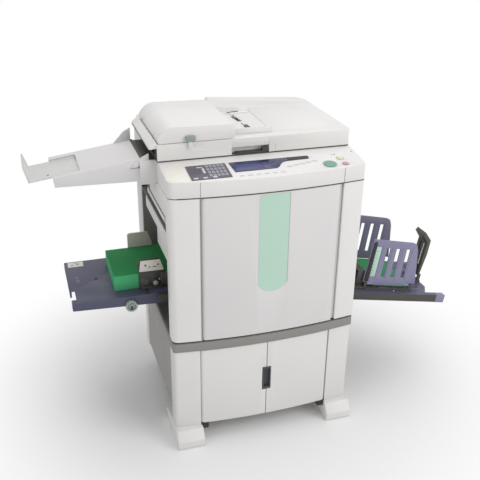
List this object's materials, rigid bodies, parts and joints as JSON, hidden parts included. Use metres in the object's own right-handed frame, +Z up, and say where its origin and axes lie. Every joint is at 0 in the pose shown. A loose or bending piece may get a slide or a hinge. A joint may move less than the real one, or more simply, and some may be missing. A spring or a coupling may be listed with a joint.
{
  "type": "digital duplicator",
  "caption": "Free-standing stencil duplicator with a document feeder on top, a folding paper tray on each side and a cabinet stand with doors.",
  "frame": {"origin": "middle of the whole machine's outline on the floor", "axes": "+X to the operator's right, towards the receiving tray, +Y to the rear, +Z up"},
  "size_m": [1.5224, 0.626, 1.1118],
  "materials": {
    "casing": "fine-textured moulding",
    "door": "fine-textured moulding",
    "mint": "satin moulding",
    "stand_paint": "powder coat",
    "stand_dark": "powder coat",
    "board": "laminated board",
    "foot": "moulded",
    "black_metal": "satin black",
    "black_plastic": "moulded",
    "steel": "zinc plated sheet",
    "dark_sheet": "satin",
    "rubber": "matt",
    "glass": "clear",
    "white": "matt",
    "tray_plastic": "fine-textured moulding",
    "pale_plastic": "fine-textured moulding",
    "key_membrane": "printed film",
    "green": "moulded",
    "yellow": "moulded",
    "red": "moulded",
    "paper": "uncoated",
    "drum_mesh": "fine mesh",
    "alu": "drawn",
    "ink": "moulded"
  },
  "bodies": {
    "machine": {"stand_posts": "stand_paint", "stand_panels": "board", "stand_top_plate": "stand_dark", "front_feet": "foot", "hinge_pins": "black_metal", "base_pan": "dark_sheet", "main_frame": "steel", "left_cover": "casing", "feed_side_wall": "dark_sheet", "right_cover": "casing", "rear_cover": "casing", "top_housing": "casing", "panel_inserts": "key_membrane", "scanner_glass": "glass", "drum_core": "alu", "ink_cartridge": "ink", "master_unit": "black_plastic", "main_motor": "steel", "print_exit_unit": "black_plastic", "power_supply": "steel", "document_tray": "casing", "receiving_bracket": "black_plastic"},
    "adf": {"adf_base": "casing", "platen_pad": "white"},
    "front_door": {"front_door": "door", "front_door_insert": "mint"},
    "stand_door_right": {"stand_door_right": "stand_dark", "stand_door_handle": "black_plastic"},
    "stand_door_left": {"stand_door_left": "stand_dark"},
    "caster_fork_left": {"caster_fork_left": "steel"},
    "caster_fork_right": {"caster_fork_right": "steel"},
    "caster_wheel_left": {"caster_wheel_left": "rubber"},
    "caster_wheel_right": {"caster_wheel_right": "rubber"},
    "print_drum": {"print_drum": "drum_mesh"},
    "press_roller": {"press_roller": "rubber"},
    "document_tray_extension": {"document_tray_extension": "pale_plastic"},
    "adf_cover": {"adf_cover": "casing"},
    "adf_release_lever": {"adf_release_lever": "pale_plastic"},
    "document_guide_front": {"document_guide_front": "pale_plastic"},
    "document_guide_rear": {"document_guide_rear": "pale_plastic"},
    "adf_exit_roller": {"adf_exit_roller": "rubber"},
    "feed_elevator": {"feed_elevator": "steel"},
    "feed_tray": {"feed_tray": "tray_plastic"},
    "feed_fence_front": {"feed_fence_front": "tray_plastic"},
    "feed_fence_rear": {"feed_fence_rear": "tray_plastic"},
    "feed_dial": {"feed_dial": "pale_plastic"},
    "paper_stack": {"paper_stack": "paper"},
    "pickup_roller": {"pickup_roller": "rubber"},
    "receiving_tray": {"receiving_tray": "tray_plastic"},
    "receiving_slider_front": {"receiving_slider_front": "black_plastic"},
    "receiving_slider_rear": {"receiving_slider_rear": "black_plastic"},
    "receiving_fence_front": {"receiving_fence_front": "tray_plastic"},
    "receiving_fence_rear": {"receiving_fence_rear": "tray_plastic"},
    "stopper_slider": {"stopper_slider": "black_plastic"},
    "end_stopper": {"end_stopper": "tray_plastic"},
    "start_button": {"start_button": "green"},
    "stop_button": {"stop_button": "red"},
    "clear_button": {"clear_button": "yellow"},
    "disposal_box": {"disposal_box": "casing"},
    "scan_carriage": {"scan_carriage": "black_plastic"}
  },
  "joints": [
    {"name": "stand_door_left_hinge", "type": "hinge", "parent": "machine", "child": "stand_door_left", "pos_m": [-0.25181, -0.26376, 0.074], "axis": [0, 0, -1], "range_deg": [0, 90]},
    {"name": "stand_door_right_hinge", "type": "hinge", "parent": "machine", "child": "stand_door_right", "pos_m": [0.19219, -0.26376, 0.074], "axis": [0, 0, 1], "range_deg": [0, 90]},
    {"name": "caster_swivel_left", "type": "hinge", "parent": "machine", "child": "caster_fork_left", "pos_m": [-0.24481, 0.186, 0.105], "axis": [0, 0, 1], "continuous": true},
    {"name": "caster_wheel_left_spin", "type": "hinge", "parent": "caster_fork_left", "child": "caster_wheel_left", "pos_m": [-0.24481, 0.208, 0.03], "axis": [1, 0, 0], "continuous": true},
    {"name": "caster_swivel_right", "type": "hinge", "parent": "machine", "child": "caster_fork_right", "pos_m": [0.18519, 0.186, 0.105], "axis": [0, 0, 1], "continuous": true},
    {"name": "caster_wheel_right_spin", "type": "hinge", "parent": "caster_fork_right", "child": "caster_wheel_right", "pos_m": [0.18519, 0.208, 0.03], "axis": [1, 0, 0], "continuous": true},
    {"name": "front_door_hinge", "type": "hinge", "parent": "machine", "child": "front_door", "pos_m": [-0.24181, -0.26538, 0.418], "axis": [0, 0, -1], "range_deg": [0, 88]},
    {"name": "adf_hinge", "type": "hinge", "parent": "machine", "child": "adf", "pos_m": [-0.02981, 0.297, 1.022], "axis": [-1, 0, 0], "range_deg": [0, 62]},
    {"name": "adf_cover_hinge", "type": "hinge", "parent": "adf", "child": "adf_cover", "pos_m": [-0.34581, 0.016, 1.071], "axis": [0, -1, 0], "range_deg": [0, 60]},
    {"name": "adf_release_lever_hinge", "type": "hinge", "parent": "adf", "child": "adf_release_lever", "pos_m": [-0.25181, -0.132, 1.05], "axis": [0, -1, 0], "range_deg": [0, 25]},
    {"name": "document_guide_front_slide", "type": "slide", "parent": "adf", "child": "document_guide_front", "axis": [0, 1, 0], "range_m": [-0.018, 0.06]},
    {"name": "document_guide_rear_slide", "type": "slide", "parent": "adf", "child": "document_guide_rear", "axis": [0, -1, 0], "range_m": [-0.018, 0.06]},
    {"name": "adf_exit_roller_spin", "type": "hinge", "parent": "adf", "child": "adf_exit_roller", "pos_m": [-0.33781, 0.016, 1.03], "axis": [0, 1, 0], "continuous": true},
    {"name": "document_tray_extension_slide", "type": "slide", "parent": "machine", "child": "document_tray_extension", "axis": [0.9903, 0, 0.1392], "range_m": [0, 0.06]},
    {"name": "feed_lift", "type": "slide", "parent": "machine", "child": "feed_elevator", "axis": [0, 0, 1], "range_m": [-0.085, 0]},
    {"name": "feed_tray_fold", "type": "hinge", "parent": "feed_elevator", "child": "feed_tray", "pos_m": [-0.36981, 0.016, 0.539], "axis": [0, 1, 0], "range_deg": [0, 88]},
    {"name": "feed_fence_front_slide", "type": "slide", "parent": "feed_tray", "child": "feed_fence_front", "axis": [0, -1, 0], "range_m": [0, 0.04]},
    {"name": "feed_fence_rear_slide", "type": "slide", "parent": "feed_tray", "child": "feed_fence_rear", "axis": [0, 1, 0], "range_m": [0, 0.04]},
    {"name": "feed_dial_spin", "type": "hinge", "parent": "feed_tray", "child": "feed_dial", "pos_m": [-0.46681, 0.016, 0.513], "axis": [0, 1, 0], "continuous": true},
    {"name": "paper_stack_slide", "type": "slide", "parent": "feed_tray", "child": "paper_stack", "axis": [1, 0, 0], "range_m": [-0.25, 0]},
    {"name": "pickup_roller_spin", "type": "hinge", "parent": "machine", "child": "pickup_roller", "pos_m": [-0.29381, 0.016, 0.6163], "axis": [0, 1, 0], "continuous": true},
    {"name": "receiving_tray_fold", "type": "hinge", "parent": "machine", "child": "receiving_tray", "pos_m": [0.33619, 0.016, 0.468], "axis": [0, -1, 0], "range_deg": [0, 101]},
    {"name": "receiving_slider_front_slide", "type": "slide", "parent": "receiving_tray", "child": "receiving_slider_front", "axis": [0, -1, 0], "range_m": [0, 0.043]},
    {"name": "receiving_slider_rear_slide", "type": "slide", "parent": "receiving_tray", "child": "receiving_slider_rear", "axis": [0, 1, 0], "range_m": [0, 0.043]},
    {"name": "receiving_fence_front_fold", "type": "hinge", "parent": "receiving_slider_front", "child": "receiving_fence_front", "pos_m": [0.42148, -0.094, 0.43512], "axis": [0.9816, 0, -0.1908], "range_deg": [0, 90]},
    {"name": "receiving_fence_rear_fold", "type": "hinge", "parent": "receiving_slider_rear", "child": "receiving_fence_rear", "pos_m": [0.42339, 0.126, 0.44494], "axis": [-0.9816, 0, 0.1908], "range_deg": [0, 90]},
    {"name": "stopper_slide", "type": "slide", "parent": "receiving_tray", "child": "stopper_slider", "axis": [0.9816, 0, -0.1908], "range_m": [-0.06, 0]},
    {"name": "end_stopper_fold", "type": "hinge", "parent": "stopper_slider", "child": "end_stopper", "pos_m": [0.7061, 0.016, 0.38998], "axis": [0, 1, 0], "range_deg": [0, 90]},
    {"name": "start_button_press", "type": "slide", "parent": "machine", "child": "start_button", "axis": [0, 0.1449, -0.9894], "range_m": [0, 0.002], "stiffness_N_per_m": 600},
    {"name": "stop_button_press", "type": "slide", "parent": "machine", "child": "stop_button", "axis": [0, 0.1449, -0.9894], "range_m": [0, 0.002], "stiffness_N_per_m": 600},
    {"name": "clear_button_press", "type": "slide", "parent": "machine", "child": "clear_button", "axis": [0, 0.1449, -0.9894], "range_m": [0, 0.002], "stiffness_N_per_m": 600},
    {"name": "disposal_box_slide", "type": "slide", "parent": "machine", "child": "disposal_box", "axis": [1, 0, 0], "range_m": [-0.22, 0]},
    {"name": "scan_carriage_slide", "type": "slide", "parent": "machine", "child": "scan_carriage", "axis": [1, 0, 0], "range_m": [0, 0.38]},
    {"name": "print_drum_spin", "type": "hinge", "parent": "machine", "child": "print_drum", "pos_m": [0.01019, 0.016, 0.69], "axis": [0, 1, 0], "continuous": true},
    {"name": "press_roller_spin", "type": "hinge", "parent": "machine", "child": "press_roller", "pos_m": [0.01019, 0.016, 0.5777], "axis": [0, 1, 0], "continuous": true}
  ],
  "couplings": [
    {"joint": "document_guide_rear_slide", "follows": "document_guide_front_slide", "ratio": 1},
    {"joint": "feed_fence_rear_slide", "follows": "feed_fence_front_slide", "ratio": 1},
    {"joint": "receiving_slider_rear_slide", "follows": "receiving_slider_front_slide", "ratio": 1},
    {"joint": "receiving_fence_front_fold", "follows": "receiving_tray_fold", "ratio": 0.8906},
    {"joint": "receiving_fence_rear_fold", "follows": "receiving_tray_fold", "ratio": 0.8906},
    {"joint": "end_stopper_fold", "follows": "receiving_tray_fold", "ratio": 0.8906},
    {"joint": "press_roller_spin", "follows": "print_drum_spin", "ratio": -4.6}
  ]
}
